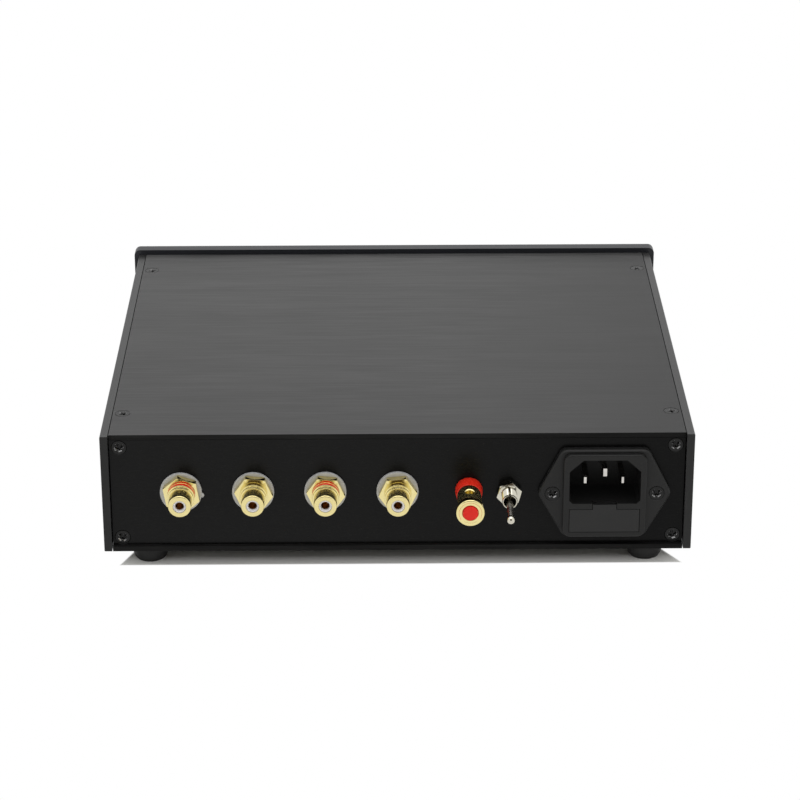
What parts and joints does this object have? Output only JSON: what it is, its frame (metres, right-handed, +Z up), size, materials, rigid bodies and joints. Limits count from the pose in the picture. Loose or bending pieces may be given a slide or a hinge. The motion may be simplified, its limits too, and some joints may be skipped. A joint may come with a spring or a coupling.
{
  "type": "phono preamp",
  "caption": "Flat black aluminium phono preamplifier with gold phono jacks, a ground post, a toggle switch and a fused mains inlet on its rear panel.",
  "frame": {"origin": "centre of the bounding box in plan, at the height of the surface that the feet stand on", "axes": "+Z is up, the front panel faces -Y, the connectors face +Y, and +X is to the right for someone looking at the front"},
  "size_m": [0.2312, 0.2282, 0.0589],
  "materials": {
    "case": "black anodised, satin",
    "black_screw": "blackened steel",
    "rubber": "matt",
    "steel": "bright plated",
    "gold": "gold plated",
    "red_plastic": "moulded",
    "grey_plastic": "translucent grey",
    "white_plastic": "satin",
    "black_plastic": "moulded",
    "tinned": "tin plated",
    "fuse_glass": "clear",
    "button_metal": "dark anodised",
    "led": "diffused",
    "board": "lacquered",
    "capacitor": "sleeved",
    "sink": "black anodised",
    "terminal": "moulded",
    "winding": "polyester tape",
    "wire": "sheathed"
  },
  "bodies": {
    "chassis": {"board_screws": "steel", "board_standoffs": "steel", "bottom_cover": "case", "bottom_cover_screws": "black_screw", "button_bezel": "button_metal", "button_nut": "steel", "button_switch": "black_plastic", "film_capacitors": "red_plastic", "filter_capacitors": "capacitor", "foot_bolts": "steel", "front_panel": "case", "front_panel_screws": "black_screw", "ground_post_base": "red_plastic", "ground_post_body": "gold", "ground_post_nut": "steel", "heat_sinks": "sink", "inlet_housing": "black_plastic", "inlet_nuts": "steel", "inlet_pins": "tinned", "inlet_screws": "black_screw", "led_bezel": "button_metal", "left_side_panel": "case", "main_board": "board", "mains_wires": "wire", "op_amps": "black_plastic", "power_devices": "black_plastic", "power_led": "led", "rca_contacts": "gold", "rca_inner_washers": "grey_plastic", "rca_insulators": "white_plastic", "rca_nuts": "gold", "rca_outer_washers": "grey_plastic", "rca_red_rings": "red_plastic", "rca_shell_1": "gold", "rca_shell_2": "gold", "rca_shell_3": "gold", "rca_shell_4": "gold", "rca_solder_tags": "gold", "rear_panel": "case", "rear_panel_screws": "black_screw", "right_side_panel": "case", "rubber_feet": "rubber", "signal_wires": "wire", "terminal_blocks": "terminal", "toggle_body": "black_plastic", "toggle_bushing": "steel", "toggle_lock_washer": "steel", "toggle_nuts": "steel", "toggle_terminals": "tinned", "top_cover": "case", "top_cover_screws": "black_screw", "transformer": "winding", "transformer_fixings": "steel"},
    "selector_lever": {"toggle_lever": "steel"},
    "post_washer": {"ground_post_washer": "gold"},
    "post_knob": {"ground_post_knob": "gold", "ground_post_insert": "red_plastic"},
    "power_button": {"button_cap": "button_metal"},
    "drawer": {"fuse_drawer": "black_plastic", "fuses": "fuse_glass"}
  },
  "joints": [
    {"name": "selector_tilt", "type": "hinge", "parent": "chassis", "child": "selector_lever", "pos_m": [-0.0428, 0.09891, 0.0325], "axis": [1, 0, 0], "range_deg": [0, 25]},
    {"name": "knob_lift", "type": "slide", "parent": "chassis", "child": "post_washer", "axis": [0, 1, 0], "range_m": [0, 0.0035]},
    {"name": "knob_turn", "type": "hinge", "parent": "post_washer", "child": "post_knob", "pos_m": [-0.0277, 0.11051, 0.03295], "axis": [0, 1, 0], "range_deg": [0, 1800.1]},
    {"name": "button_press", "type": "slide", "parent": "chassis", "child": "power_button", "axis": [0, 1, 0], "range_m": [0, 0.0025], "stiffness_N_per_m": 300},
    {"name": "drawer_pull", "type": "slide", "parent": "chassis", "child": "drawer", "axis": [0, 1, 0], "range_m": [0, 0.022]}
  ],
  "couplings": [
    {"joint": "knob_turn", "follows": "knob_lift", "rad_per_m": 8976}
  ]
}
